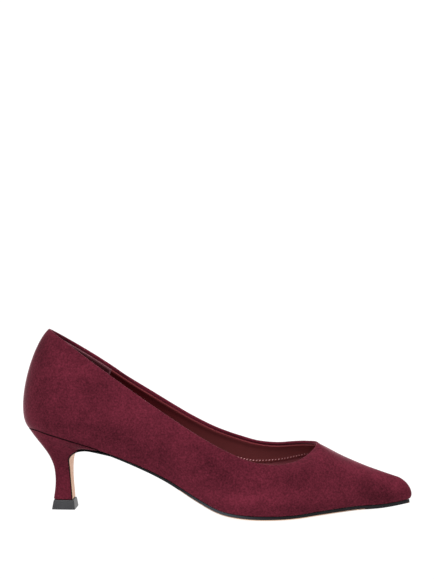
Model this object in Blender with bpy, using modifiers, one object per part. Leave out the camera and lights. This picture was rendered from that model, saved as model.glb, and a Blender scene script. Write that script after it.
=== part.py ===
"""Right court shoe for women: a pointed suede upper on a thin leather sole that runs down the
breast of a flared, covered heel. The toe points to +X, the outer side of the foot to -Y, up is +Z.
Sizes are in millimetres here and become metres where the meshes are made."""

import collections
import math

import bmesh
import bpy
import numpy as np

MM = 0.001

# Driving sizes, in millimetres
LAST_LENGTH = 254.0       # feather line, from the back of the seat to the tip of the toe
BALL_WIDTH = 72.0         # sole, across the joints
HEEL_HEIGHT = 54.2        # seat above the floor, at the back
COLLAR_HEIGHT = 120.9     # top of the back above the floor
THROAT_HEIGHT = 46.0      # instep above the floor, at the front of the opening
TOP_PIECE_HEIGHT = 6.4
UPPER_WALL = 1.8
INSOLE_THICKNESS = 2.0
INSOLE_INSET = 2.2        # edge of the insole from the feather line, clear of the upper's wall
SOLE_MARGIN = 0.3         # sole beyond the feather line
SOLE_UNDERCUT = 0.4       # how far the bottom of its edge is set back
GAP = 0.3                 # glue line between pieces


def table(columns, *rows):
    """Rows of numbers that go by the names of their columns."""
    row_type = collections.namedtuple("Row", columns)
    return [row_type(*row) for row in rows]


# Plan of the feather line. Along is in percent of LAST_LENGTH from the back of the seat, and the
# outer and inner edges are in percent of BALL_WIDTH from the centre line of the heel.
FEATHER = table(
    "along outer inner",
    (0.0, 0.0, 0.0),        # back of the seat
    (1.8, 16.8, 16.8),
    (6.3, 28.7, 28.5),
    (12.0, 33.9, 33.4),
    (18.0, 34.4, 33.0),     # widest part of the seat
    (23.9, 33.1, 30.6),
    (29.8, 31.9, 27.5),
    (35.7, 32.5, 25.8),     # waist
    (41.6, 36.1, 26.9),
    (47.3, 42.2, 31.4),
    (53.2, 47.8, 38.3),
    (59.1, 50.3, 45.0),     # outer joint
    (65.2, 49.2, 48.9),     # inner joint
    (71.1, 44.2, 48.6),
    (77.0, 36.5, 43.6),
    (82.7, 27.8, 35.8),
    (88.2, 18.6, 26.9),
    (93.3, 10.0, 18.3),
    (97.7, 2.6, 11.7),
    (100.0, -4.6, 4.6),     # tip of the toe
)

# Side view of the feather line. Height is in percent of HEEL_HEIGHT.
BOTTOM = table(
    "along height",
    (0.0, 100.0),
    (1.9, 101.0),           # seat, rounded off at its back
    (5.9, 97.8),
    (13.8, 88.4),
    (21.7, 76.7),
    (29.6, 62.1),
    (37.4, 45.5),
    (45.3, 24.9),
    (51.6, 11.5),
    (57.1, 7.5),
    (63.0, 6.6),            # tread
    (69.7, 7.1),
    (77.6, 10.7),
    (85.5, 13.1),
    (93.3, 12.8),
    (100.0, 15.7),          # toe spring
)

# Edge of the opening, one row for each of the first rows of FEATHER. Drop is in percent of the way
# down from COLLAR_HEIGHT to THROAT_HEIGHT.
COLLAR = table(
    "along outer outer_drop inner inner_drop",
    (5.5, 0.0, 0.0, 0.0, 0.0),           # top of the back
    (7.6, 12.5, 3.6, 12.5, 5.5),
    (11.7, 21.5, 11.8, 20.8, 14.7),
    (16.4, 26.4, 23.1, 25.8, 25.0),
    (21.5, 29.9, 35.0, 28.9, 36.6),
    (26.8, 32.6, 47.5, 30.8, 48.8),
    (32.3, 35.4, 60.1, 32.5, 60.5),
    (37.8, 37.8, 72.1, 34.4, 72.0),
    (43.3, 40.3, 83.9, 36.7, 82.9),
    (48.9, 42.6, 94.7, 39.2, 92.4),
    (54.4, 44.7, 103.6, 41.1, 99.2),
    (59.9, 45.6, 110.2, 41.4, 104.4),
    (65.2, 41.7, 112.8, 37.5, 105.5),
    (70.1, 29.9, 111.9, 27.8, 102.9),
    (73.5, 16.7, 107.5, 16.0, 100.9),
    (75.9, 0.0, 100.0, 0.0, 100.0),      # throat
)

# Ridge of the vamp, one row for each of the last rows of FEATHER, from the throat on. Inner is in
# percent of BALL_WIDTH, height in percent of THROAT_HEIGHT.
RIDGE = table(
    "along inner height",
    (75.9, 0.0, 100.0),
    (81.7, 1.7, 82.7),
    (87.4, 2.8, 68.9),
    (92.8, 3.9, 58.1),
    (96.9, 4.6, 50.6),
)

# Swell of the upper in millimetres, one row for each row of FEATHER: how far the wall sets off out
# and up from the feather line, and out and down from its top.
SWELL = table(
    "low_out low_up high_out high_down",
    (10.0, 10.5, 12.9, 11.8),
    (9.3, 12.5, 11.8, 13.5),
    (7.8, 15.5, 9.7, 15.5),
    (6.4, 17.0, 7.5, 17.0),
    (5.4, 16.0, 6.0, 16.0),
    (4.6, 15.0, 5.0, 15.0),
    (4.2, 14.0, 4.0, 14.0),
    (4.0, 13.0, 3.5, 12.5),
    (4.0, 12.0, 3.5, 11.0),
    (4.0, 11.0, 4.0, 9.5),
    (4.2, 10.5, 5.0, 8.0),
    (4.4, 10.5, 6.5, 7.0),
    (4.5, 11.0, 8.5, 6.0),
    (4.5, 12.5, 11.5, 5.5),
    (4.4, 14.5, 13.5, 4.5),
    (4.2, 16.0, 14.5, 3.2),
    (4.0, 15.0, 12.5, 2.6),
    (3.8, 12.0, 10.0, 1.7),
    (3.6, 8.0, 7.0, 1.4),
    (3.8, 2.2, 8.6, 3.1),
)

# Heel from the top piece up to the seat. Along is in percent of LAST_LENGTH, heights in percent of
# HEEL_HEIGHT, widths at the breast in percent of BALL_WIDTH. Seat is how far the section has
# changed from the square stem to the round outline of the seat.
HEEL = table(
    "breast_along breast_height back_along back_height outer inner seat",
    (11.85, 12.5, 6.55, 12.5, 8.2, 8.2, 0.0),
    (11.65, 24.0, 6.9, 24.0, 7.7, 7.7, 0.0),
    (11.4, 39.0, 7.05, 37.0, 8.2, 8.2, 0.0),      # thinnest part of the stem
    (11.3, 53.0, 6.75, 51.7, 10.8, 10.8, 0.05),
    (11.4, 63.2, 5.95, 63.7, 16.0, 16.0, 0.15),
    (12.2, 69.4, 4.85, 72.5, 20.0, 20.0, 0.3),
    (13.75, 74.2, 3.55, 80.0, 23.6, 23.2, 0.5),
    (15.9, 76.4, 2.35, 86.3, 26.8, 26.0, 0.68),
    (18.0, 76.0, 1.2, 92.6, 30.0, 28.6, 0.85),
    (21.1, 74.0, 0.0, 100.0, 33.6, 31.6, 1.0),    # seat, and the thin front lip under the waist
)
STEM_CORNER = 0.38        # share of the stem's depth that its rounded back takes
STEM_SQUARENESS = 2.6     # exponent of that rounding, where 2 is an ellipse
BACK_CROWDING = 1.7       # points of a section crowd to its round back by this exponent
SEAT_EASE = 2             # exponent by which the slope of the seat comes in towards the top

# Thickness of the sole in millimetres, and how far its middle stands below its edge.
SOLE = table(
    "along thickness crown",
    (12.0, 0.5, 0.0),
    (17.0, 0.6, 0.0),
    (22.0, 0.95, 0.0),
    (28.0, 1.25, 0.0),
    (35.0, 1.5, 0.2),
    (50.0, 2.2, 1.2),
    (60.0, 2.45, 1.8),
    (70.0, 2.35, 1.7),
    (80.0, 2.55, 1.5),
    (90.0, 2.4, 1.0),
    (100.0, 1.95, 0.6),
)
TREAD_STARTS = 4.85       # row of FEATHER where the sole leaves the heel and meets the upper
FULL_UNDERCUT_WIDTH = BALL_WIDTH / 4    # a narrower stretch of the sole has a smaller undercut

# Square block under the heel, which widens to the floor: percent of LAST_LENGTH and BALL_WIDTH
TOP_PIECE = table(
    "back_along front_along width",
    (6.77, 12.24, 16.94),     # under the heel
    (6.38, 12.6, 21.11),      # on the floor
)
TOP_PIECE_ROUNDING = 0.5

# Fineness of the meshes
STEPS_PER_ROW = 3
WALL_STEPS = 12
INSOLE_CROSS_STEPS = 6
SOLE_CROSS_STEPS = 10
HEEL_SIDE_STEPS = 12
SEAT_LINE_STEPS = 90
TANGENT_STEP = 0.01       # in rows
SHARP_ANGLE = 35          # degrees
MERGE = 1e-6              # metres

MATERIALS = {   # colour, roughness
    "burgundy_suede": ((0.125, 0.018, 0.035), 0.95),
    "wine_lining": ((0.075, 0.012, 0.014), 0.5),
    "tan_leather": ((0.56, 0.36, 0.23), 0.55),
    "black_rubber": ((0.03, 0.033, 0.038), 0.45),
}

TOE = len(FEATHER) - 1
THROAT = len(COLLAR) - 1
JOINTS = 9                # row of FEATHER up to which the half width is read from x


def x_of(along):
    """Place along the shoe, with the middle of the last at 0."""
    return (along / 100 - 0.5) * LAST_LENGTH


def wide(percent):
    return percent / 100 * BALL_WIDTH


def curve_at(points, position, closed=False):
    """Point of the smooth curve through the rows of points, at a row number with a fraction."""
    count = len(points)
    row = math.floor(position)
    if not closed:
        row = min(max(row, 0), count - 2)

    def pick(index):
        if closed:
            return points[index % count]
        if index < 0:
            return 2 * points[0] - points[1]
        if index >= count:
            return 2 * points[-1] - points[-2]
        return points[index]

    a, b, c, d = (pick(row + step) for step in (-1, 0, 1, 2))
    t = position - row
    return b + 0.5 * t * (c - a + t * (2 * a - 5 * b + 4 * c - d + t * (3 * (b - c) + d - a)))


def value_at(rows, x, column):
    """A column of a table that goes along the shoe, smoothly between its rows."""
    places = [x_of(row.along) for row in rows]
    values = [getattr(row, column) for row in rows]
    slopes = np.gradient(values, places)
    x = min(max(x, places[0]), places[-1])
    row = min(max(np.searchsorted(places, x) - 1, 0), len(places) - 2)
    span = places[row + 1] - places[row]
    t = (x - places[row]) / span
    rise = t * t * (3 - 2 * t)
    return (
        values[row] * (1 - rise)
        + values[row + 1] * rise
        + span * slopes[row] * t * (1 - t) ** 2
        - span * slopes[row + 1] * t * t * (1 - t)
    )


def round_trip(outer_rows, inner_rows):
    """Closed loop of rows: from the back along the outer side to the front, and home on the inner."""
    return np.array(list(outer_rows) + list(inner_rows)[-2:0:-1])


def collar_height(drop):
    return COLLAR_HEIGHT - drop / 100 * (COLLAR_HEIGHT - THROAT_HEIGHT)


FEATHER_LOOP = round_trip(
    [(x_of(row.along), -wide(row.outer)) for row in FEATHER],
    [(x_of(row.along), wide(row.inner)) for row in FEATHER],
)
COLLAR_LOOP = round_trip(
    [(x_of(row.along), -wide(row.outer), collar_height(row.outer_drop)) for row in COLLAR],
    [(x_of(row.along), wide(row.inner), collar_height(row.inner_drop)) for row in COLLAR],
)
RIDGE_LINE = np.array(
    [(x_of(row.along), wide(row.inner), row.height / 100 * THROAT_HEIGHT) for row in RIDGE]
)
SWELL_LOOP = round_trip(SWELL, SWELL)
LOOP = len(FEATHER_LOOP)


def bottom_height(x):
    """Height of the feather line."""
    return value_at(BOTTOM, x, "height") / 100 * HEEL_HEIGHT


def feather_at(position):
    """Point (x, y) of the feather line and the outward direction there."""
    ahead = curve_at(FEATHER_LOOP, position + TANGENT_STEP, closed=True)
    behind = curve_at(FEATHER_LOOP, position - TANGENT_STEP, closed=True)
    along = (ahead - behind) / np.linalg.norm(ahead - behind)
    return curve_at(FEATHER_LOOP, position, closed=True), np.array((along[1], -along[0]))


def top_at(position):
    """Top of the wall: the edge of the opening, or the ridge of the vamp in front of the throat."""
    row = position % LOOP
    inner_side = row > TOE
    row = LOOP - row if inner_side else row
    if row >= THROAT:
        return curve_at(RIDGE_LINE, row - THROAT)
    return curve_at(COLLAR_LOOP, -row if inner_side else row, closed=True)


def wall_point(position, share):
    """Outside of the upper at a place round the loop, from the feather line, 0, to the top, 1."""
    (x, y), out = feather_at(position)
    low_out, low_up, high_out, high_down = curve_at(SWELL_LOOP, position, closed=True)
    foot = np.array((x, y, bottom_height(x)))
    top = top_at(position)
    low = foot + (out[0] * low_out, out[1] * low_out, low_up)
    high = top + (out[0] * high_out, out[1] * high_out, -high_down)
    rest = 1 - share
    return rest**3 * foot + 3 * rest**2 * share * low + 3 * rest * share**2 * high + share**3 * top


def half_widths(direction):
    """Feather line behind the joints, as places along the shoe and half widths there."""
    rows = direction * np.linspace(0, JOINTS, SEAT_LINE_STEPS + 1)
    line = np.array([curve_at(FEATHER_LOOP, row, closed=True) for row in rows])
    return line[:, 0], np.abs(line[:, 1])


OUTER_SEAT = half_widths(1)
INNER_SEAT = half_widths(-1)


# Making objects

def clear_scene():
    for thing in list(bpy.data.objects):
        bpy.data.objects.remove(thing)


def material(name):
    colour, roughness = MATERIALS[name]
    made = bpy.data.materials.new(name)
    made.use_nodes = True
    shader = made.node_tree.nodes["Principled BSDF"]
    shader.inputs["Base Color"].default_value = (*colour, 1)
    shader.inputs["Roughness"].default_value = roughness
    shader.inputs["Metallic"].default_value = 0
    return made


def add_piece(name, shape, finish, shoe):
    """Turns a finished bmesh in millimetres into a named object of the shoe."""
    bmesh.ops.scale(shape, vec=(MM, MM, MM), verts=shape.verts)
    bmesh.ops.remove_doubles(shape, verts=shape.verts, dist=MERGE)
    mesh = bpy.data.meshes.new(name)
    shape.to_mesh(mesh)
    shape.free()
    mesh.shade_smooth()
    mesh.set_sharp_from_angle(angle=math.radians(SHARP_ANGLE))
    mesh.materials.append(finish)
    piece = bpy.data.objects.new(name, mesh)
    piece.parent = shoe
    shoe.users_collection[0].objects.link(piece)
    return piece


def sheet(columns, rows, place):
    """A grid whose points go to place(across, along), with both running from 0 to 1."""
    shape = bmesh.new()
    bmesh.ops.create_grid(shape, x_segments=columns, y_segments=rows, size=1)
    for vertex in shape.verts:
        vertex.co = place((vertex.co.x + 1) / 2, (vertex.co.y + 1) / 2)
    return shape


def slab(columns, rows, place):
    """A closed plate whose points go to place(across, along, layer), with layer 0 or 1."""
    shape = bmesh.new()
    bmesh.ops.create_grid(shape, x_segments=columns, y_segments=rows, size=1)
    raised = bmesh.ops.extrude_face_region(shape, geom=shape.faces[:], use_keep_orig=True)
    for thing in raised["geom"]:
        if isinstance(thing, bmesh.types.BMVert):
            thing.co.z = 1
    for vertex in shape.verts:
        across, along, layer = vertex.co
        vertex.co = place((across + 1) / 2, (along + 1) / 2, round(layer))
    bmesh.ops.recalc_face_normals(shape, faces=shape.faces)
    return shape


def loft(rings):
    """Skin over closed rings of points. A ring starts at the back and runs out along one side and
    home on the other, so each end is closed by strips between points that face each other."""
    shape = bmesh.new()
    skin = [[shape.verts.new(point) for point in ring] for ring in rings]
    count = len(skin[0])
    for below, above in zip(skin, skin[1:]):
        for i in range(count):
            j = (i + 1) % count
            shape.faces.new((below[i], below[j], above[j], above[i]))
    for end in (skin[0], skin[-1]):
        for i in range(count // 2):
            corners = (end[i], end[i + 1], end[-i - 1], end[-i])
            shape.faces.new(dict.fromkeys(corners))
    bmesh.ops.recalc_face_normals(shape, faces=shape.faces)
    return shape


# The pieces

def make_upper(finish, shoe):
    """Suede shell, cut on the last: open at the collar and underneath."""
    def place(across, along):
        return wall_point(TOE + across * LOOP, along)

    shape = sheet(LOOP * STEPS_PER_ROW, WALL_STEPS, place)
    piece = add_piece("upper", shape, finish, shoe)
    wall = piece.modifiers.new("wall", "SOLIDIFY")
    wall.thickness = UPPER_WALL * MM
    wall.offset = -1
    wall.use_even_offset = True


def make_insole(finish, shoe):
    """Insole board with its sock, lying inside the foot of the upper."""
    def edge(position):
        point, out = feather_at(position)
        return point - out * INSOLE_INSET

    def place(across, along):
        row = along * TOE
        x, y = edge(-row) * (1 - across) + edge(row) * across
        return x, y, bottom_height(x) + GAP

    shape = sheet(INSOLE_CROSS_STEPS, TOE * STEPS_PER_ROW, place)
    piece = add_piece("insole", shape, finish, shoe)
    board = piece.modifiers.new("board", "SOLIDIFY")
    board.thickness = INSOLE_THICKNESS * MM
    board.offset = 1


def heel_row(position):
    """Breast (x, z), back (x, z), outer and inner half width and seat share at a row of HEEL."""
    row = HEEL[0]._make(curve_at(np.array(HEEL), position))
    breast = np.array((x_of(row.breast_along), row.breast_height / 100 * HEEL_HEIGHT))
    back = np.array((x_of(row.back_along), row.back_height / 100 * HEEL_HEIGHT))
    return breast, back, wide(row.outer), wide(row.inner), row.seat


FLAP_STATIONS = (len(HEEL) - 1) * STEPS_PER_ROW + 1


def sole_stations():
    """Stations of the sole from the foot of the breast to the toe: its outer face (x, z), its outer
    and inner edge and its thickness."""
    stations = []
    for step in range(FLAP_STATIONS):
        breast, _, outer, inner, _ = heel_row(step / STEPS_PER_ROW)
        stations.append((*breast, -outer, inner, value_at(SOLE, breast[0], "thickness")))
    steps = round((TOE - TREAD_STARTS) * STEPS_PER_ROW)
    for row in np.linspace(TREAD_STARTS, TOE, steps + 1):
        (x, outer), out = feather_at(row)
        (_, inner), _ = feather_at(-row)
        thickness = value_at(SOLE, x, "thickness")
        slope = (bottom_height(x + 1) - bottom_height(x - 1)) / 2
        z = bottom_height(x) - GAP - thickness * math.hypot(1, slope)
        x += SOLE_MARGIN * out[0]
        stations.append((x, z, outer - SOLE_MARGIN, inner + SOLE_MARGIN, thickness))
    return np.array(stations)


def inward(stations):
    """Unit direction (x, z) from the outer face of the sole into the shoe at each station."""
    run = np.gradient(stations[:, :2], axis=0)
    run /= np.linalg.norm(run, axis=1)[:, None]
    return np.stack((-run[:, 1], run[:, 0]), axis=1)


def make_outsole(finish, shoe):
    """Leather sole, thin at the waist, which goes on as a flap down the breast of the heel. Its
    crowned tread is flat where it stands on the floor."""
    stations = sole_stations()
    into = inward(stations)
    last = len(stations) - 1

    def place(across, along, layer):
        index = round(along * last)
        x, z, outer, inner, thickness = stations[index]
        side = 2 * across - 1
        y = outer * (1 - across) + inner * across
        if layer:
            return x + into[index][0] * thickness, y, z + into[index][1] * thickness
        crown = value_at(SOLE, x, "crown") if index >= FLAP_STATIONS else 0
        undercut = SOLE_UNDERCUT * min(1, (inner - outer) / FULL_UNDERCUT_WIDTH)
        return x, y - side * undercut, max(0, z - crown * (1 - side**2))

    add_piece("outsole", slab(SOLE_CROSS_STEPS, last, place), finish, shoe)


def make_heel(finish, shoe):
    """Moulded heel in one suede cover: a square stem that spreads to the round seat."""
    stations = sole_stations()[:FLAP_STATIONS]
    into = inward(stations)
    shares = np.linspace(0, 1, HEEL_SIDE_STEPS + 1) ** BACK_CROWDING
    seat_back = x_of(0)
    seat_front = x_of(HEEL[-1].breast_along)
    seat_drop = bottom_height(seat_front) - HEEL_HEIGHT

    def stem(share):
        """Half width of the stem as a share of its width at the breast."""
        if share >= STEM_CORNER:
            return 1.0
        rest = 1 - share / STEM_CORNER
        return (1 - rest**STEM_SQUARENESS) ** (1 / STEM_SQUARENESS)

    def side_of(step, back, breast, half, seat_line, seat):
        """Points of one section from its back to the breast, on one side."""
        points = []
        for share in shares:
            x, z = back + (breast - back) * share
            seat_x = seat_back + (seat_front - seat_back) * share
            seat_form = np.interp(seat_x, *seat_line) / np.interp(seat_front, *seat_line)
            y = half * (stem(share) * (1 - seat) + seat_form * seat)
            straight = HEEL_HEIGHT + seat_drop * share
            z += (bottom_height(seat_x) - straight) * seat**SEAT_EASE
            if step == FLAP_STATIONS - 1:
                x, z = seat_x, bottom_height(seat_x) - GAP
            points.append((x, y, z))
        return points

    rings = []
    for step, (bx, bz, _, _, thickness) in enumerate(stations):
        _, back, outer, inner, seat = heel_row(step / STEPS_PER_ROW)
        breast = np.array((bx, bz)) + into[step] * (thickness + GAP)
        outer_side = side_of(step, back, breast, -outer, OUTER_SEAT, seat)
        inner_side = side_of(step, back, breast, inner, INNER_SEAT, seat)
        rings.append(outer_side + inner_side[:0:-1])
    add_piece("heel", loft(rings), finish, shoe)


def make_top_piece(finish, shoe):
    """Rubber block under the heel, the part that wears and is replaced."""
    shape = bmesh.new()
    bmesh.ops.create_cube(shape, size=1)
    for vertex in shape.verts:
        on_floor = vertex.co.z < 0
        row = TOP_PIECE[on_floor]
        along = row.front_along if vertex.co.x > 0 else row.back_along
        side = math.copysign(wide(row.width) / 2, vertex.co.y)
        vertex.co = (x_of(along), side, 0 if on_floor else TOP_PIECE_HEIGHT)
    piece = add_piece("top_piece", shape, finish, shoe)
    rounding = piece.modifiers.new("rounding", "BEVEL")
    rounding.width = TOP_PIECE_ROUNDING * MM
    rounding.segments = 2


def stand_on_origin(shoe):
    """Moves the shoe so that the origin is below the middle of its box, on the floor."""
    bpy.context.view_layer.update()
    graph = bpy.context.evaluated_depsgraph_get()
    corners = []
    for piece in shoe.children:
        shown = piece.evaluated_get(graph)
        corners += [shown.matrix_world @ vertex.co for vertex in shown.data.vertices]
    corners = np.array(corners)
    middle = (corners.min(axis=0) + corners.max(axis=0)) / 2
    shoe.location = (-middle[0], -middle[1], 0)


def main():
    clear_scene()
    group = bpy.data.collections.new("court_shoe")
    bpy.context.scene.collection.children.link(group)
    shoe = bpy.data.objects.new("court_shoe_frame", None)
    group.objects.link(shoe)
    suede = material("burgundy_suede")
    make_upper(suede, shoe)
    make_insole(material("wine_lining"), shoe)
    make_outsole(material("tan_leather"), shoe)
    make_heel(suede, shoe)
    make_top_piece(material("black_rubber"), shoe)
    stand_on_origin(shoe)


main()
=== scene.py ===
"""Looks of a right court shoe in burgundy suede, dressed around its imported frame. The toe points to +X,
the outer side of the foot to -Y. Places and lengths are in metres, and those in _mm in millimetres."""

import math
from collections import namedtuple

import bmesh
import bpy
import numpy as np
from mathutils import Matrix, Vector
from mathutils.kdtree import KDTree


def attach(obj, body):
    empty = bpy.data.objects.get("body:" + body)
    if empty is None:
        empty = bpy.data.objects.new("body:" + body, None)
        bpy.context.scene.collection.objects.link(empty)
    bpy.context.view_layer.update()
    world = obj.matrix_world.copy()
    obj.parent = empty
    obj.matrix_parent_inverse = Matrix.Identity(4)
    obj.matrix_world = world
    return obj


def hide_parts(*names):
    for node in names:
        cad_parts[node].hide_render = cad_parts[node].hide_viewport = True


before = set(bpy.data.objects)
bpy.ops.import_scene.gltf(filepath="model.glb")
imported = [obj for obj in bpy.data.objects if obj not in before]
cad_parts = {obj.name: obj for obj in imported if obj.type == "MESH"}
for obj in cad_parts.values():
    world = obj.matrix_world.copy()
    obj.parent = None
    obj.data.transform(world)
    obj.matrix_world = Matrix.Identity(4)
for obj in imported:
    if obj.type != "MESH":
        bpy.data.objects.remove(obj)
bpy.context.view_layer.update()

# Camera
# A long lens on the outer side of the shoe, a little above it and turned a few degrees to the toe.
# The shoe stands in the lower half of the picture, so the lens points over the collar.
camera_target = Vector((0.0005, 0.0009, 0.1472))
camera_distance = 0.9
camera_turn = math.radians(3.8)
camera_rise = math.radians(2.95)
camera_back = Vector((
    math.sin(camera_turn) * math.cos(camera_rise),
    -math.cos(camera_turn) * math.cos(camera_rise),
    math.sin(camera_rise),
))
bpy.ops.object.camera_add(
    location=camera_target + camera_back * camera_distance,
    rotation=camera_back.to_track_quat("Z", "Y").to_euler(),
)
camera = bpy.context.object
camera.data.lens = 84.5
camera.data.sensor_width = 36
bpy.context.scene.camera = camera
bpy.context.scene.view_settings.view_transform = "Standard"

# Upper
# One piece of suede, pulled over a pointed last and glued under its edge, with a closed seam at the
# back. The edge of the opening is folded in, so the suede shows for a few millimetres inside.
MM = 0.001
sharp_edge = math.radians(50)
nearness = 20                   # how much a metre of distance counts beside where a face looks
high_above = 0.2                # over the whole shoe
fold_rounding_mm = 0.8
foot_rounding_mm = 0.35
opening_height_mm = 12          # what lies higher above the insole belongs to the opening
insole_ends = (-0.122, 0.118)
insole_steps = 61
OUTSIDE, INSIDE, PAINTED_SEAM_SHADE = 0, 1, 2
even_nap = 0.5                  # neither lighter nor darker: no nap patch and no painted light
seam_half_width_mm = 0.5
seam_depth_mm = 0.35
seam_front = -0.085             # the seam runs behind this place
seam_side = 0.00087             # the middle of the heel
opening_middle = Vector((-0.02, 0, 0))
opening_stretch = 3             # the opening is about this many times as long as wide
fold_painted_highlight = 0.35               # how much painted highlight lies on top of the folded edge
fold_highlight_reach_mm = 1.3
fold_shade = -0.6               # and how much painted shade darkens its inside
fold_shade_start_mm = 0.9
fold_shade_end_mm = 5
deep_shade = 0.65               # beside the heel grip the fold lies in deep shade
deep_shade_middle = -0.052
deep_shade_reach = 0.022
seat_front = -0.076             # behind this place the foot of the upper meets the heel in a seam
# The colour of the painted shade in the seam round the seat and deep inside the fold.
seam_shade = (0.012, 0.0015, 0.003)
seam_shade_reach_mm = 0.5
toe_tip_start = 0.112           # the steep edge down the point of the toe lies in front of this


def copy_of(node, name):
    """A new piece that starts as a node of the frame, its loose triangles merged and paired to quads."""
    bpy.ops.object.select_all(action="DESELECT")
    piece = bpy.data.objects.new(name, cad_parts[node].data.copy())
    piece.data.name = name
    piece.data.materials.clear()
    bpy.context.scene.collection.objects.link(piece)
    piece.select_set(True)
    bpy.context.view_layer.objects.active = piece
    bpy.ops.object.mode_set(mode="EDIT")
    bpy.ops.mesh.select_all(action="SELECT")
    bpy.ops.mesh.remove_doubles(threshold=1e-5)
    pairing = math.radians(100)
    bpy.ops.mesh.tris_convert_to_quads(
        face_threshold=pairing, shape_threshold=pairing, topology_influence=1
    )
    bpy.ops.object.mode_set(mode="OBJECT")
    return piece


def select_sharp_edges(piece, wanted):
    bpy.context.view_layer.objects.active = piece
    bpy.ops.object.mode_set(mode="EDIT")
    bpy.ops.mesh.select_mode(type="EDGE")
    bpy.ops.mesh.select_all(action="DESELECT")
    shape = bmesh.from_edit_mesh(piece.data)
    for edge in shape.edges:
        edge.select_set(bool(edge.calc_face_angle(0) > sharp_edge and wanted(edge)))
    bmesh.update_edit_mesh(piece.data)


def round_edges(piece, width_mm, segments, wanted=lambda edge: True, material=-1):
    """Bevels the sharp edges of a piece that wanted says yes to."""
    select_sharp_edges(piece, wanted)
    bpy.ops.mesh.bevel(offset=width_mm * MM, segments=segments, affect="EDGES", material=material)
    bpy.ops.object.mode_set(mode="OBJECT")


def mark_side(piece, index, seed, sharpness=sharp_edge):
    """Gives a material slot to the faces that run on smoothly from the one that scores best by seed."""
    bpy.context.view_layer.objects.active = piece
    bpy.ops.object.mode_set(mode="EDIT")
    bpy.ops.mesh.select_mode(type="FACE")
    bpy.ops.mesh.select_all(action="DESELECT")
    shape = bmesh.from_edit_mesh(piece.data)
    max(shape.faces, key=seed).select_set(True)
    bmesh.update_edit_mesh(piece.data)
    bpy.ops.mesh.faces_select_linked_flat(sharpness=sharpness)
    piece.active_material_index = index
    bpy.ops.object.material_slot_assign()
    bpy.ops.object.mode_set(mode="OBJECT")


def apply_modifier(piece, kind, **settings):
    """Adds a modifier with these settings to a piece and applies it."""
    bpy.context.view_layer.objects.active = piece
    modifier = piece.modifiers.new(kind.lower(), kind)
    for name, value in settings.items():
        setattr(modifier, name, value)
    bpy.ops.object.modifier_apply(modifier=modifier.name)


def places_of(mesh, count):
    """The first points of a mesh, as one row of numbers."""
    places = np.empty(3 * len(mesh.vertices))
    mesh.vertices.foreach_get("co", places)
    return places[:3 * count]


def smooth(piece, levels, rounds_of_fitting=0, fitted=lambda point: True, soft=lambda edge: False):
    """Subdivides a piece into a smooth skin. Sharp edges stay sharp, apart from those that soft says
    yes to. Fitting brings the skin back out to the piece's own points where fitted says yes. It
    suits even faces."""
    select_sharp_edges(piece, lambda edge: not soft(edge))
    bpy.ops.transform.edge_crease(value=1)
    bpy.ops.object.mode_set(mode="OBJECT")
    count = len(piece.data.vertices)
    wanted = places_of(piece.data, count)
    share = np.repeat([fitted(vertex.co) for vertex in piece.data.vertices], 3)
    fitting = piece.modifiers.new("fitting", "SUBSURF")
    for _ in range(rounds_of_fitting):
        shown = piece.evaluated_get(bpy.context.evaluated_depsgraph_get())
        missed = wanted - places_of(shown.data, count)
        piece.data.vertices.foreach_set("co", places_of(piece.data, count) + share * missed)
        piece.data.update()
    piece.modifiers.remove(fitting)
    apply_modifier(piece, "SUBSURF", levels=levels, render_levels=levels)
    piece.data.shade_smooth()


def cut_along(shape, field, wanted=lambda point: True):
    """Cuts the faces of a bmesh along the line where field changes sign, and returns its points."""
    values = {vertex: field(vertex.co) for vertex in shape.verts}
    line = []
    for edge in list(shape.edges):
        a, b = edge.verts
        if (values[a] < 0) != (values[b] < 0) and wanted(a.co) and wanted(b.co):
            share = values[a] / (values[a] - values[b])
            line.append(bmesh.utils.edge_split(edge, a, share)[1])
    bmesh.ops.connect_verts(shape, verts=line)
    return line


def keep_values(piece, name, value_of):
    """Keeps a value at each point of a piece, for its material to read."""
    points = piece.data.attributes.new(name, "FLOAT", "POINT").data
    points.foreach_set("value", [value_of(vertex.co) for vertex in piece.data.vertices])


def add_node(tree, kind, inputs=(), **settings):
    """Adds a shader node. An input's value may be a number, a colour or the output of another node."""
    node = tree.nodes.new(kind)
    for name, value in settings.items():
        setattr(node, name, value)
    for socket, value in dict(inputs).items():
        if isinstance(value, bpy.types.NodeSocket):
            tree.links.new(value, node.inputs[socket])
        else:
            node.inputs[socket].default_value = value
    return node


def math_node(tree, operation, *values):
    return add_node(tree, "ShaderNodeMath", enumerate(values), operation=operation).outputs[0]


def mix_colours(tree, factor, first, second):
    inputs = {"Factor": factor, "A": first, "B": second}
    node = add_node(tree, "ShaderNodeMix", data_type="RGBA")
    sockets = {socket.name: socket for socket in node.inputs if socket.enabled}
    for name, value in inputs.items():
        if isinstance(value, bpy.types.NodeSocket):
            tree.links.new(value, sockets[name])
        else:
            sockets[name].default_value = value
    return next(socket for socket in node.outputs if socket.enabled)


def noise_at(tree, place, size_mm, detail=2.0, roughness=0.5):
    """Noise whose patches are about this wide, as a value from 0 to 1."""
    settings = {"Vector": place, "Scale": 0.5 / (size_mm * MM), "Detail": detail, "Roughness": roughness}
    return add_node(tree, "ShaderNodeTexNoise", settings).outputs["Fac"]


def finish_of(name, **constants):
    """A new material and its shader, with values that are the same all over the surface."""
    made = bpy.data.materials.new(name)
    made.use_nodes = True
    shader = made.node_tree.nodes["Principled BSDF"]
    for socket, value in constants.items():
        shader.inputs[socket.replace("_", " ")].default_value = value
    return made, made.node_tree, shader


def new_group(name, inputs, outputs):
    """A node group with its sockets, given as name and kind, and its two end nodes."""
    group = bpy.data.node_groups.new(name, "ShaderNodeTree")
    for direction, sockets in (("INPUT", inputs), ("OUTPUT", outputs)):
        for socket, kind in sockets.items():
            group.interface.new_socket(socket, in_out=direction, socket_type="NodeSocket" + kind)
    return group, add_node(group, "NodeGroupInput"), add_node(group, "NodeGroupOutput")


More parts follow.
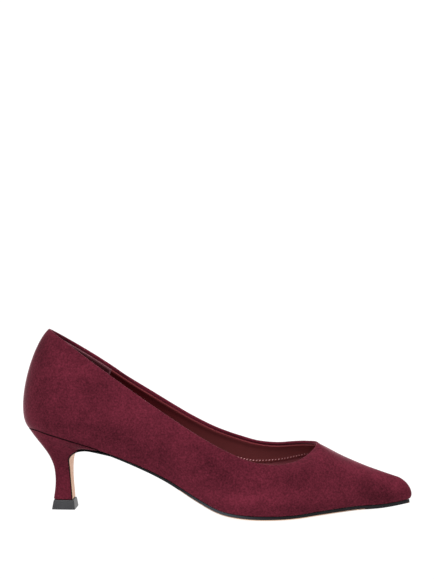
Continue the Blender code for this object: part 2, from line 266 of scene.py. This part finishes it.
def bump_from(tree, shader, height, strength, distance_mm):
    bump = add_node(
        tree, "ShaderNodeBump", {"Strength": strength, "Distance": distance_mm * MM, "Height": height}
    )
    tree.links.new(bump.outputs[0], shader.inputs["Normal"])


def colour_from(tree, shader, colour, overlays=()):
    """Links a colour to the shader. Over it lie others, by the values of their name on the piece."""
    for name, other in dict(overlays).items():
        share = add_node(tree, "ShaderNodeAttribute", attribute_name=name).outputs["Fac"]
        colour = mix_colours(tree, share, colour, (*other, 1))
    tree.links.new(colour, shader.inputs["Base Color"])


# Suede's nap lies this way and that: broad clouds, smaller brushed patches and a fine grain of fibre.
# They lie over a tone read from the piece, which holds brushed nap and painted light and shade.
nap, nap_in, nap_out = new_group(
    "suede nap",
    {"Dark": "Color", "Middle": "Color", "Light": "Color", "Nap and painted light": "Float"},
    {"Color": "Color", "Height": "Float"},
)
place = add_node(nap, "ShaderNodeTexCoord").outputs["Object"]
clouds = noise_at(nap, place, size_mm=14)
patches = noise_at(nap, place, size_mm=4, detail=3)
fibres = noise_at(nap, place, size_mm=0.6, detail=3, roughness=0.75)
cloud_weight = 0.4
patch_weight = 0.4
fibre_weight = 1.9
fibre_height = 0.6
tone = nap_in.outputs["Nap and painted light"]
for layer, weight in ((clouds, cloud_weight), (patches, patch_weight), (fibres, fibre_weight)):
    tone = math_node(nap, "MULTIPLY_ADD", math_node(nap, "SUBTRACT", layer, 0.5), weight, tone)
to_middle = math_node(nap, "MULTIPLY", tone, 2)
to_light = math_node(nap, "SUBTRACT", to_middle, 1)
shade = mix_colours(nap, to_middle, nap_in.outputs["Dark"], nap_in.outputs["Middle"])
nap.links.new(mix_colours(nap, to_light, shade, nap_in.outputs["Light"]), nap_out.inputs["Color"])
fuzz = noise_at(nap, place, size_mm=0.35, roughness=0.6)
nap.links.new(math_node(nap, "MULTIPLY_ADD", fibres, fibre_height, fuzz), nap_out.inputs["Height"])


def nap_finish(name, middle, darker, lighter, sheen, sheen_tint, overlays=()):
    """Suede, its brushed nap with painted light and shade read from the piece. Darker and lighter are
    shares of the middle.
    """
    made, tree, shader = finish_of(
        name, Roughness=0.95, Specular_IOR_Level=0.05,
        Sheen_Weight=sheen, Sheen_Roughness=0.27, Sheen_Tint=(*sheen_tint, 1),
    )
    look = add_node(tree, "ShaderNodeGroup", node_tree=nap)
    for socket, share in (("Dark", darker), ("Middle", 1), ("Light", lighter)):
        look.inputs[socket].default_value = (*(share * value for value in middle), 1)
    nap_and_painted_light = add_node(tree, "ShaderNodeAttribute", attribute_name="nap_and_painted_light").outputs["Fac"]
    tree.links.new(nap_and_painted_light, look.inputs["Nap and painted light"])
    colour_from(tree, shader, look.outputs["Color"], overlays)
    bump_from(tree, shader, look.outputs["Height"], strength=0.4, distance_mm=0.25)
    return made


burgundy = (0.101, 0.0125, 0.024)
nap_sheen = (0.9, 0.55, 0.6)
# The upper's suede. Its overlay is painted shade in the seam round the seat and deep inside the fold.
suede = nap_finish(
    "burgundy_suede", burgundy, darker=0.45, lighter=1.75,
    sheen=0.68, sheen_tint=nap_sheen, overlays={"painted_seam_and_fold_shade": seam_shade},
)
# Suede darkened to painted shade, for the rounding in the seam round the seat.
painted_seam_shade_suede = nap_finish(
    "painted_seam_shade_suede", seam_shade, darker=0.5, lighter=1.5, sheen=0, sheen_tint=nap_sheen
)

# Where the nap is lighter or darker on the outer side: partly brushed nap, and partly painted light and
# shade, as a painted highlight along the lit top of the vamp and painted shade low on the vamp, on the
# heel and down the back, where it takes down the sheen. The inner side has the same patches a little
# further on.
# Where the shoe bends or was handled, the suede has soft troughs too.
Patch = namedtuple("Patch", "x_mm z_mm reach_x_mm reach_z_mm tone")
patches_of_nap_and_painted_light = [
    Patch(-97, 112, 8, 6, -0.03),
    Patch(-95, 97, 9, 8, 0.12),
    Patch(-114, 78, 5, 14, -0.12),
    # painted shade down the back, which takes down its sheen
    Patch(-117, 108, 9, 12, -0.38),
    Patch(-129, 86, 5, 16, -0.3),
    Patch(-112, 66, 8, 8, -0.1),
    Patch(-78, 96, 9, 5, 0.08),
    Patch(-80, 85, 10, 6, -0.14),
    Patch(-98, 59, 19, 5, -0.18),
    # painted shade on the stem of the heel
    Patch(-99, 32, 9, 8, -0.16),
    # painted shade on the heel's flare below the seam, which takes down its sheen
    Patch(-88, 45.5, 10, 4.5, -0.32),
    Patch(-63, 53, 16, 8, -0.16),
    Patch(-56, 70, 15, 8, 0.1),
    Patch(-49, 40, 14, 9, -0.16),
    Patch(-34, 61, 15, 7, 0.1),
    Patch(-34, 45, 4, 9, -0.12),
    Patch(-28, 29, 6, 5, -0.14),
    Patch(-10, 47, 9, 4, -0.08),
    Patch(-5, 17, 9, 5, 0.12),
    Patch(-2, 38, 7, 7, -0.18),
    Patch(9, 29, 10, 9, -0.3),
    Patch(18, 14, 11, 7, 0.25),
    Patch(26, 29, 8, 4, 0.05),
    Patch(46, 16, 14, 5, 0.12),
    Patch(54, 27, 11, 7, -0.21),
    # painted shade along the lower edge of the vamp, where it curves under
    Patch(62, 8, 42, 5, -0.24),
    # painted highlight along the lit top of the vamp and toe, in this row and the lighter ones below
    Patch(74, 41, 12, 5, 0.2),
    Patch(91, 33, 11, 5, 0.22),
    Patch(97, 18, 9, 5, -0.16),
    Patch(107, 27, 10, 4.5, 0.22),
    Patch(109, 12, 12, 5, -0.36),
    Patch(121, 19, 6, 6, 0.2),
]
Trough = namedtuple("Trough", "x_mm z_mm half_length_mm half_width_mm turn_deg depth_mm")
troughs = [
    Trough(-80, 84, 12, 5, 25, 0.3),
    Trough(-56, 70, 17, 8, -30, -0.3),
    Trough(-34, 46, 11, 3.5, 80, 0.3),
    Trough(-3, 37, 9, 4, 65, 0.35),
    Trough(9, 28, 12, 5, 55, 0.5),
    Trough(18, 15, 13, 6, 15, -0.35),
    Trough(31, 32, 13, 3.5, -8, 0.3),
    Trough(54, 27, 12, 4.5, -25, 0.45),
    Trough(75, 22, 10, 4, -20, -0.25),
]
inner_side_shift_mm = 9
inner_side_start = 0.012        # from here on a point is shifted all the way


def spread(offset_x, offset_z, reach_x, reach_z):
    return math.exp(-(offset_x / reach_x) ** 2 - (offset_z / reach_z) ** 2)


def on_side(point):
    """A point's place on the side of the shoe in mm, as the patches and troughs give it."""
    shift = inner_side_shift_mm * min(1, max(0, point.y / inner_side_start))
    return point.x / MM - shift, point.z / MM


def nap_and_painted_light(point):
    x, z = on_side(point)
    tones = [p.tone * spread(x - p.x_mm, z - p.z_mm, p.reach_x_mm, p.reach_z_mm) for p in patches_of_nap_and_painted_light]
    return even_nap + sum(tones)


def sunk(point):
    """How deep the troughs lie at a point, in mm."""
    x, z = on_side(point)
    depth = 0
    for trough in troughs:
        turn = math.radians(trough.turn_deg)
        dx, dz = x - trough.x_mm, z - trough.z_mm
        along = dx * math.cos(turn) + dz * math.sin(turn)
        across = dz * math.cos(turn) - dx * math.sin(turn)
        depth += trough.depth_mm * spread(along, across, trough.half_length_mm, trough.half_width_mm)
    return depth


# The height of the insole along its middle, above which other places are measured.
insole_reach = np.linspace(*insole_ends, insole_steps)
insole_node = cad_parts["insole"]
insole_heights = [
    insole_node.ray_cast(Vector((x, 0, high_above)), Vector((0, 0, -1)))[1].z for x in insole_reach
]


def above_insole(point):
    return point.z - np.interp(point.x, insole_reach, insole_heights)


def at_opening(edge):
    return above_insole(edge.verts[0].co) > opening_height_mm * MM


def inside_wall(face):
    """Scores best for a face of the outer wall that looks into the shoe."""
    return face.normal.y - nearness * face.calc_center_median().y


upper = copy_of("upper", "suede_upper")
for finish in (suede, suede, painted_seam_shade_suede):
    upper.data.materials.append(finish)
mark_side(upper, INSIDE, inside_wall)


def at_toe_tip(edge):
    """The steep edge down the point of the toe."""
    rise = abs(edge.verts[0].co.z - edge.verts[1].co.z)
    return edge.verts[0].co.x > toe_tip_start and rise > 0.5 * edge.calc_length()


def at_outer_foot(edge):
    if at_opening(edge) or at_toe_tip(edge):
        return False
    return all(face.material_index == OUTSIDE for face in edge.link_faces)


def at_collar(edge):
    return at_opening(edge) and any(face.material_index == INSIDE for face in edge.link_faces)


def at_seat(edge):
    return at_outer_foot(edge) and edge.verts[0].co.x < seat_front


def line_on(piece, wanted):
    """The sharp edges of a piece that wanted says yes to, as points from which to measure."""
    steps_per_edge = 8
    points = []
    shape = bmesh.new()
    shape.from_mesh(piece.data)
    for edge in shape.edges:
        a, b = (vertex.co for vertex in edge.verts)
        if edge.calc_face_angle(0) > sharp_edge and wanted(edge):
            points += [a.lerp(b, step / steps_per_edge) for step in range(steps_per_edge)]
    shape.free()
    line = KDTree(len(points))
    for index, point in enumerate(points):
        line.insert(point, index)
    line.balance()
    return line


# The edge of the opening on its inside, from which the folded edge and the linings are measured, and
# the seam round the seat.
collar = line_on(upper, at_collar)
seat_seam = line_on(upper, at_seat)


def below_collar(point):
    return collar.find(point)[2]


def from_opening(point):
    """How far a point is from the middle of the opening, with the length of the shoe counted less."""
    side = point - opening_middle
    return math.hypot(side.x / opening_stretch, side.y)


# The upper's tone: brushed nap, a painted highlight on the crest of the fold and painted shade inside it.
def nap_and_painted_light_on_upper(point):
    edge, _, distance = collar.find(point)
    tone = 0
    if from_opening(point) > from_opening(edge):
        tone = fold_painted_highlight * math.exp(-(distance / fold_highlight_reach_mm / MM) ** 2)
    elif distance < fold_shade_end_mm * MM:
        tone = fold_shade * (1 - math.exp(-(distance / fold_shade_start_mm / MM) ** 2))
    return nap_and_painted_light(point) + tone


def shaded_at_seat(point):
    """Painted shade: 1 in the seam round the seat, and 0 well away from it."""
    return math.exp(-(seat_seam.find(point)[2] / seam_shade_reach_mm / MM) ** 2)


def shaded_in_fold(point):
    """The deep painted shade inside the fold, and 0 elsewhere."""
    edge, _, distance = collar.find(point)
    if from_opening(point) > from_opening(edge) or distance > fold_shade_end_mm * MM:
        return 0
    along = math.exp(-((point.x - deep_shade_middle) / deep_shade_reach) ** 4)
    return deep_shade * along * (1 - math.exp(-(distance / fold_shade_start_mm / MM) ** 2))


round_edges(upper, fold_rounding_mm, segments=3, wanted=at_opening)
# The rounding at the foot behind the seat's front takes the darkened suede, as painted shade in the seam.
round_edges(upper, foot_rounding_mm, segments=2, wanted=at_outer_foot, material=PAINTED_SEAM_SHADE)
for face in upper.data.polygons:
    if face.material_index == PAINTED_SEAM_SHADE and face.center.x > seat_front:
        face.material_index = OUTSIDE
smooth(upper, levels=2, rounds_of_fitting=3, soft=at_toe_tip)

# The troughs and the seam at the back are pressed into the outer skin alone.
shape = bmesh.new()
shape.from_mesh(upper.data)
for offset_mm in (-seam_half_width_mm, 0, seam_half_width_mm):
    line_side = seam_side + offset_mm * MM
    seam_line = cut_along(shape, lambda point: point.y - line_side, lambda point: point.x < seam_front)
    if offset_mm == 0:
        seam_middle = seam_line
shape.normal_update()
pressed = {
    vertex: sunk(vertex.co)
    for vertex in shape.verts if all(face.material_index != INSIDE for face in vertex.link_faces)
}
for vertex in seam_middle:
    if vertex in pressed:
        pressed[vertex] += seam_depth_mm
for vertex, depth_mm in pressed.items():
    vertex.co -= vertex.normal * depth_mm * MM
shape.to_mesh(upper.data)
shape.free()
keep_values(upper, "nap_and_painted_light", nap_and_painted_light_on_upper)
# Painted shade in the seam round the seat and deep inside the fold.
keep_values(upper, "painted_seam_and_fold_shade", lambda point: max(shaded_at_seat(point), shaded_in_fold(point)))
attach(upper, "root")
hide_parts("upper")

# A band of smooth leather glued inside round the opening, under the folded suede. Its rolled upper edge
# has a painted highlight with painted shade below it, the facing has painted light towards the toe, and
# its lower edge is stitched down to the lining.
fold_depth_mm = 2.2
stitching_places = (-0.07, 0.022, 0.04, 0.06)
stitching_depths_mm = (14.9, 14.9, 13.5, 12.5)  # below the edge of the opening, at these places
stitching_margin_mm = 1.3
glue_mm = 0.1
facing_thickness_mm = 1.0
rolled_edge_mm = 1.1
under_roll_mm = 2.4             # the facing lies in the shade of its rolled edge here
under_roll_reach_mm = 1.3
under_roll_shade = 0.6
facing_back = -0.07
facing_front = 0.055
front_fade_power = 2.2          # the painted light comes in late
edge_fade_gain = 1.5            # an edge keeps its full tone for a third of its reach
merge_mm = 0.05                 # points of a lining that lie closer are merged
grip_front_mm = -70.2           # front edge of the heel grip, at the height given next
grip_front_height_mm = 96.0
grip_slant = 0.5
lining_end = 0.105              # inside the toe, where no one sees
lining_foot_mm = -1.6           # beside the sock, which the other pieces end above
grip_foot_mm = 0.4


def before_grip(point):
    """How far a point lies in front of the heel grip."""
    edge = grip_front_mm * MM + grip_slant * (point.z - grip_front_height_mm * MM)
    return point.x - edge


def below_fold(point):
    return below_collar(point) - fold_depth_mm * MM


def below_stitching(point):
    return below_collar(point) - np.interp(point.x, stitching_places, stitching_depths_mm) * MM


def below_facing(point):
    return below_stitching(point) - stitching_margin_mm * MM


def in_shoe(point):
    return above_insole(point) > grip_foot_mm * MM and point.x < lining_end


def beside_sock(point):
    return lining_foot_mm * MM < above_insole(point) < grip_foot_mm * MM and point.x < lining_end


inside = bmesh.new()
inside.from_mesh(upper.data)
others = [face for face in inside.faces if face.material_index != INSIDE]
bmesh.ops.delete(inside, geom=others, context="FACES")
for foot_mm in (lining_foot_mm, grip_foot_mm):
    cut_along(inside, lambda point: above_insole(point) - foot_mm * MM)
cut_along(inside, lambda point: point.x - lining_end)
for field in (before_grip, below_fold, below_facing):
    cut_along(inside, field)
inside.normal_update()


def lining_piece(name, thickness_mm, rounding_mm, finish, wanted):
    """A lining: those faces of the inside that wanted says yes to, with a thickness and soft edges."""
    shape = inside.copy()
    others = [face for face in shape.faces if not wanted(face.calc_center_median())]
    bmesh.ops.delete(shape, geom=others, context="FACES")
    bmesh.ops.remove_doubles(shape, verts=shape.verts, dist=merge_mm * MM)
    for vertex in shape.verts:
        vertex.co += vertex.normal * glue_mm * MM
    mesh = bpy.data.meshes.new(name)
    shape.to_mesh(mesh)
    shape.free()
    mesh.materials.clear()
    mesh.materials.append(finish)
    mesh.polygons.foreach_set("material_index", [0] * len(mesh.polygons))
    piece = bpy.data.objects.new(name, mesh)
    bpy.context.scene.collection.objects.link(piece)
    apply_modifier(piece, "SOLIDIFY", thickness=thickness_mm * MM, offset=1)
    apply_modifier(
        piece, "BEVEL", width=rounding_mm * MM, segments=3, limit_method="ANGLE", angle_limit=sharp_edge
    )
    piece.data.shade_smooth()
    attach(piece, "root")
    return piece


# Leather's skin: fine pores and creases between small flat cells, and a slow change of tone.
grain, grain_in, grain_out = new_group(
    "leather grain", {"Cell": "Float"}, {"Height": "Float", "Tone": "Float"}
)
place = add_node(grain, "ShaderNodeTexCoord").outputs["Object"]
cells = add_node(
    grain, "ShaderNodeTexVoronoi",
    {"Vector": place, "Scale": math_node(grain, "DIVIDE", 1 / MM, grain_in.outputs["Cell"])},
    feature="DISTANCE_TO_EDGE",
)
crease_share = 0.15
crease_height = 3
creases = math_node(grain, "MINIMUM", cells.outputs["Distance"], crease_share)
pores = noise_at(grain, place, size_mm=0.5, detail=3)
grain.links.new(
    math_node(grain, "MULTIPLY_ADD", creases, crease_height, pores), grain_out.inputs["Height"]
)
grain.links.new(noise_at(grain, place, size_mm=14, detail=3), grain_out.inputs["Tone"])


def grain_finish(name, dark, light, cell_mm, bump, overlays=(), **constants):
    """Smooth leather between two tones of one colour."""
    made, tree, shader = finish_of(name, **constants)
    look = add_node(tree, "ShaderNodeGroup", node_tree=grain)
    look.inputs["Cell"].default_value = cell_mm
    colour = mix_colours(tree, look.outputs["Tone"], (*dark, 1), (*light, 1))
    colour_from(tree, shader, colour, overlays)
    bump_from(tree, shader, look.outputs["Height"], strength=bump, distance_mm=0.1)
    return made


def fade(distance, reach_mm):
    """1 at an edge, and 0 from the given reach on."""
    return min(1, max(0, edge_fade_gain * (1 - distance / (reach_mm * MM))))


def painted_light_towards_toe(point):
    """Painted light on the facing, stronger towards the toe."""
    share = (point.x - facing_back) / (facing_front - facing_back)
    return min(1, max(0, share)) ** front_fade_power


def painted_shade_under_roll(point):
    """The shade below the rolled edge, which ends towards the toe."""
    depth_mm = below_fold(point) / MM
    shade = math.exp(-((depth_mm - under_roll_mm) / under_roll_reach_mm) ** 2)
    return under_roll_shade * shade * (1 - painted_light_towards_toe(point))


# Its overlays are painted light towards the toe, painted shade under the rolled edge and a painted
# highlight on that edge.
facing_leather = grain_finish(
    "wine_facing_leather", dark=(0.048, 0.004, 0.0052), light=(0.068, 0.006, 0.0075),
    cell_mm=0.6, bump=0.15,
    overlays={
        "front": (0.25, 0.064, 0.066),
        "painted_shade_under_roll": (0.03, 0.003, 0.004),
        "painted_roll_highlight": (0.24, 0.045, 0.053),
    },
    Roughness=0.4, Specular_IOR_Level=0.1,
)


def on_facing(point):
    return before_grip(point) > 0 and in_shoe(point) and below_fold(point) > 0 > below_facing(point)


facing = lining_piece(
    "leather_facing", facing_thickness_mm, rounding_mm=0.42, finish=facing_leather, wanted=on_facing
)
# The painted light, painted shade and painted highlight that the facing's overlays read.
keep_values(facing, "front", painted_light_towards_toe)
keep_values(facing, "painted_shade_under_roll", painted_shade_under_roll)
keep_values(facing, "painted_roll_highlight", lambda point: fade(below_fold(point), rolled_edge_mm))

# Lining
# Soft textile behind the facing, down beside the sock and forward into the toe. Its lowest strip runs
# all round, and fills the narrow gap between the sock and the wall of the upper.
lining_cloth = grain_finish(
    "mauve_lining_cloth", dark=(0.25, 0.055, 0.07), light=(0.34, 0.082, 0.1),
    cell_mm=0.35, bump=0.3, Roughness=0.85,
)


def on_lining(point):
    if beside_sock(point):
        return True
    return before_grip(point) > 0 and in_shoe(point) and below_facing(point) > 0


lining = lining_piece(
    "textile_lining", thickness_mm=0.3, rounding_mm=0.1, finish=lining_cloth, wanted=on_lining
)

# Heel grip
# A piece of suede inside the back, flesh side out, which keeps the foot from slipping. It is glued to
# the upper between the two ends of the facing.
grip_edge_mm = 1.3
grip_suede = nap_finish(
    "mauve_grip_suede", (0.062, 0.012, 0.0165), darker=0.5, lighter=1.6,
    sheen=0.25, sheen_tint=(0.8, 0.5, 0.55), overlays={"cut_edge": (0.26, 0.1, 0.12)},
)


def on_grip(point):
    return before_grip(point) < 0 and in_shoe(point) and below_fold(point) > 0


def at_cut_edge(point):
    return fade(min(-before_grip(point), below_fold(point)), grip_edge_mm)


grip = lining_piece("heel_grip", thickness_mm=0.9, rounding_mm=0.3, finish=grip_suede, wanted=on_grip)
keep_values(grip, "nap_and_painted_light", lambda point: even_nap)
keep_values(grip, "cut_edge", at_cut_edge)

# Stitches
# A row of slanted stitches in light thread, sewn round the opening. It holds the lower edge of the
# facing to the lining.
stitch_pitch_mm = 2.2
stitch_half_length_mm = 0.75
stitch_half_width_mm = 0.4
stitch_slant = math.radians(38)
stitch_line = cut_along(inside, below_stitching)
inside.normal_update()


def turn_round_opening(vertex):
    """Order of a point round the opening, from the heel along the outer side, and home on the inner."""
    side = vertex.co - opening_middle
    return math.atan2(opening_stretch * side.y, side.x)


stitch_line.sort(key=turn_round_opening)
stitch_line = [vertex for vertex in stitch_line if before_grip(vertex.co) > stitch_pitch_mm * MM]
rise = (glue_mm + facing_thickness_mm) * MM
track = np.array([vertex.co + vertex.normal * rise for vertex in stitch_line])
outward = np.array([vertex.normal for vertex in stitch_line])
run = np.concatenate(([0], np.cumsum(np.linalg.norm(np.diff(track, axis=0), axis=1))))
stops = np.arange(0, run[-1], stitch_pitch_mm * MM)
centres = np.stack([np.interp(stops, run, track[:, axis]) for axis in range(3)], axis=1)
normals = np.stack([np.interp(stops, run, outward[:, axis]) for axis in range(3)], axis=1)
half_sizes_mm = (stitch_half_length_mm, stitch_half_width_mm, stitch_half_width_mm)
size = Matrix.Diagonal([half_mm * MM for half_mm in half_sizes_mm]).to_4x4()
threads = bmesh.new()
for centre, normal, ahead in zip(centres, normals, np.gradient(centres, axis=0)):
    up = Vector(normal).normalized()
    along = (Vector(ahead) - up * up.dot(Vector(ahead))).normalized()
    along = Matrix.Rotation(stitch_slant, 3, up) @ along
    turn = Matrix((along, up.cross(along), up)).transposed().to_4x4()
    bmesh.ops.create_uvsphere(
        threads, u_segments=8, v_segments=6, radius=1, matrix=Matrix.Translation(centre) @ turn @ size
    )
mesh = bpy.data.meshes.new("facing_stitches")
threads.to_mesh(mesh)
threads.free()
inside.free()
stitches = bpy.data.objects.new("facing_stitches", mesh)
bpy.context.scene.collection.objects.link(stitches)
thread, tree, shader = finish_of("pink_thread", Roughness=0.6)
place = add_node(tree, "ShaderNodeTexCoord").outputs["Object"]
ply = noise_at(tree, place, size_mm=0.4)
colour_from(tree, shader, mix_colours(tree, ply, (0.6, 0.23, 0.25, 1), (0.85, 0.42, 0.44, 1)))
stitches.data.materials.append(thread)
stitches.data.shade_smooth()
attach(stitches, "root")

# Sock
# The insole board under a sock of smooth lining leather. The sock is cut to the whole board and glued
# over its rounded upper edge.
sock_rounding_mm = 0.5
sock_leather = grain_finish(
    "mauve_sock_leather", dark=(0.15, 0.035, 0.042), light=(0.21, 0.055, 0.063),
    cell_mm=0.7, bump=0.2,
    Roughness=0.42, Coat_Weight=0.1, Coat_Roughness=0.35,
)


def at_upper_edge(edge):
    return any(face.normal.z > 0.5 for face in edge.link_faces)


sock = copy_of("insole", "sock")
sock.data.materials.append(sock_leather)
round_edges(sock, sock_rounding_mm, segments=2, wanted=at_upper_edge)
smooth(sock, levels=1)
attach(sock, "root")
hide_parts("insole")

# Sole
# One thin leather sole that goes on as a flap down the breast of the heel. Its edge is painted black,
# and its underside is natural tan leather, bevelled where it meets the paint.
PAINTED, UNDERSIDE = 0, 1
underside_spread = math.radians(30)
underside_bevel_mm = 0.22
edge_rounding_mm = 0.15
tread_middle = Vector((0.034, 0, 0))
bevel_reach = (-0.02, 0.1)      # between these places the edge has a bevel under it
bare_places = (0.0, 0.016, 0.062, 0.09)
bare_bevel = (0, 1, 1, 0)       # and this much of the bevel is left unpainted
flap_front = -0.07              # behind this place the sole is a thin flap with square edges
reflection_middle = 0.004           # here the black edge has a painted bluish-grey reflection
reflection_reach = 0.02
streak_scale = (0.25, 1, 0.12)  # streaks run along the sole and down the flap
edge_paint, tree, shader = finish_of("black_edge_paint", Roughness=0.35, Specular_IOR_Level=0.12)
place = add_node(tree, "ShaderNodeTexCoord").outputs["Object"]
wear = noise_at(tree, place, size_mm=3, detail=3)
paint = mix_colours(tree, wear, (0.004, 0.004, 0.005, 1), (0.011, 0.011, 0.013, 1))
# Over the paint lies a painted bluish-grey reflection at the ball.
colour_from(tree, shader, paint, {"painted_reflection_at_ball": (0.045, 0.05, 0.06)})
bump_from(tree, shader, noise_at(tree, place, size_mm=0.8, detail=3), strength=0.2, distance_mm=0.1)

tan_leather, tree, shader = finish_of("tan_sole_leather", Roughness=0.5)
place = add_node(tree, "ShaderNodeTexCoord").outputs["Object"]
drawn = add_node(tree, "ShaderNodeMapping", {"Vector": place, "Scale": streak_scale}).outputs[0]
streaks = noise_at(tree, drawn, size_mm=0.9, detail=4)
tan = mix_colours(tree, streaks, (0.5, 0.28, 0.17, 1), (0.78, 0.51, 0.35, 1))
colour_from(tree, shader, tan, {"painted_over": (0.007, 0.007, 0.009)})
bump_from(tree, shader, streaks, strength=0.15, distance_mm=0.1)

sole = copy_of("outsole", "leather_sole")
sole.data.materials.append(edge_paint)
sole.data.materials.append(tan_leather)


def under_tread(face):
    """Scores best for a face that looks down, in the middle of the tread."""
    return -face.normal.z - nearness * (face.calc_center_median() - tread_middle).length


def at_bevel(edge):
    sides = sorted(face.material_index for face in edge.link_faces)
    return sides == [PAINTED, UNDERSIDE] and bevel_reach[0] < edge.verts[0].co.x < bevel_reach[1]


def on_sole(edge):
    return edge.verts[0].co.x > flap_front


def painted_over(point):
    """The paint runs on over the bevel at its ends."""
    bare = np.interp(point.x, bare_places, bare_bevel)
    return fade(bevel_line.find(point)[2], 2 * underside_bevel_mm) * (1 - bare)


# Where the painted reflection lies on the black edge: 1 at the ball.
def painted_reflection_at_ball(point):
    return math.exp(-((point.x - reflection_middle) / reflection_reach) ** 2)


mark_side(sole, UNDERSIDE, under_tread, underside_spread)
bevel_line = line_on(sole, at_bevel)
round_edges(sole, underside_bevel_mm, segments=2, wanted=at_bevel, material=UNDERSIDE)
round_edges(sole, edge_rounding_mm, segments=2, wanted=on_sole, material=PAINTED)
smooth(sole, levels=2)
keep_values(sole, "painted_over", painted_over)
keep_values(sole, "painted_reflection_at_ball", painted_reflection_at_ball)
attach(sole, "root")
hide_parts("outsole")

# Heel
# A moulded block in one cover of the same suede, drawn tight round the stem and under the seat, so its
# nap lies flatter and shines less.
heel_lip_start = -0.091         # in front of this the heel is a thin lip between the sole and the upper
seat_reach_mm = 3
seat_rounding_mm = 0.24
PAINTED_SEAT_SHADE = 1                  # slot of the suede darkened to painted shade in the seam
# The heel's suede. Its overlay is painted shade in the seam round the seat.
flat_suede = nap_finish(
    "flat_suede", burgundy, darker=0.45, lighter=1.75,
    sheen=0.35, sheen_tint=nap_sheen, overlays={"painted_seam_and_fold_shade": seam_shade},
)


def under_seat(edge):
    place = edge.verts[0].co
    return place.x < heel_lip_start and seat_seam.find(place)[2] < seat_reach_mm * MM


heel = copy_of("heel", "suede_heel")
for finish in (flat_suede, painted_seam_shade_suede):
    heel.data.materials.append(finish)
smooth(heel, levels=2, rounds_of_fitting=2, fitted=lambda point: point.x < heel_lip_start)
# The rounding under the seat takes the darkened suede, as painted shade in the seam.
round_edges(heel, seat_rounding_mm, segments=2, wanted=under_seat, material=PAINTED_SEAT_SHADE)
heel.data.shade_smooth()
keep_values(heel, "nap_and_painted_light", nap_and_painted_light)
keep_values(heel, "painted_seam_and_fold_shade", shaded_at_seat)
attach(heel, "root")
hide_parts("heel")

# Top piece
# A block of dense dark rubber under the heel, which takes the wear. It is nailed on from below and
# ground to a soft edge.
rubber, tree, shader = finish_of("dark_rubber", Roughness=0.4)
place = add_node(tree, "ShaderNodeTexCoord").outputs["Object"]
bloom = noise_at(tree, place, size_mm=2.5, detail=4)
colour_from(tree, shader, mix_colours(tree, bloom, (0.014, 0.015, 0.017, 1), (0.032, 0.033, 0.037, 1)))
bump_from(tree, shader, noise_at(tree, place, size_mm=0.3), strength=0.15, distance_mm=0.05)
top_piece = copy_of("top_piece", "rubber_top_piece")
top_piece.data.materials.append(rubber)
smooth(top_piece, levels=2)
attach(top_piece, "root")
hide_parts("top_piece")

# Studio
# A round pale sweep that runs up all about the shoe, with large soft lights in front, at the side and
# behind.
sweep_reach = 3.2
wall_height = 2.4
sweep_radius = 1.2
bpy.ops.object.select_all(action="DESELECT")
bpy.ops.mesh.primitive_circle_add(vertices=64, radius=sweep_reach, fill_type="NGON")
floor = bpy.context.object
floor.name = "floor"
bpy.ops.object.mode_set(mode="EDIT")
bpy.ops.mesh.select_mode(type="EDGE")
bpy.ops.mesh.select_all(action="SELECT")
bpy.ops.mesh.extrude_edges_move(TRANSFORM_OT_translate={"value": (0, 0, wall_height)})
bpy.ops.mesh.select_all(action="DESELECT")
shape = bmesh.from_edit_mesh(floor.data)
for edge in shape.edges:
    edge.select_set(all(vertex.co.z < MM for vertex in edge.verts))
bmesh.update_edit_mesh(floor.data)
bpy.ops.mesh.bevel(offset=sweep_radius, segments=16, affect="EDGES")
bpy.ops.mesh.select_all(action="SELECT")
bpy.ops.mesh.normals_make_consistent(inside=True)
bpy.ops.object.mode_set(mode="OBJECT")
floor.data.shade_smooth()
paper, tree, shader = finish_of(
    "white_paper", Base_Color=(0.1, 0.1, 0.1, 1), Roughness=0.9, Emission_Strength=1
)
# The paper glows white behind the shoe and less in front of it.
place = add_node(tree, "ShaderNodeTexCoord").outputs["Object"]
depth = add_node(tree, "ShaderNodeSeparateXYZ", {0: place}).outputs["Y"]
glow = add_node(
    tree, "ShaderNodeMapRange",
    {"Value": depth, "From Min": -1, "From Max": 0, "To Min": 0.6, "To Max": 0.95},
).outputs[0]
tree.links.new(mix_colours(tree, glow, (0, 0, 0, 1), (1, 1, 1, 1)), shader.inputs["Emission Color"])
floor.data.materials.append(paper)

world = bpy.data.worlds.new("studio")
bpy.context.scene.world = world
world.use_nodes = True
background = world.node_tree.nodes["Background"]
background.inputs["Color"].default_value = (1, 1, 1, 1)
background.inputs["Strength"].default_value = 0.3
shoe_middle = Vector((0, 0, 0.05))
SoftLight = namedtuple("SoftLight", "name place size watts")
for soft_light in (
    SoftLight("front_light", Vector((-0.5, -1.2, 1.7)), 2.0, 32),
    SoftLight("side_light", Vector((1.2, -0.8, 0.9)), 0.9, 4),
    SoftLight("back_light", Vector((-0.2, 0.9, 1.4)), 1.0, 10),
):
    turn = (soft_light.place - shoe_middle).to_track_quat("Z", "Y").to_euler()
    bpy.ops.object.light_add(type="AREA", location=soft_light.place, rotation=turn)
    light = bpy.context.object
    light.name = soft_light.name
    light.data.size = soft_light.size
    light.data.energy = soft_light.watts
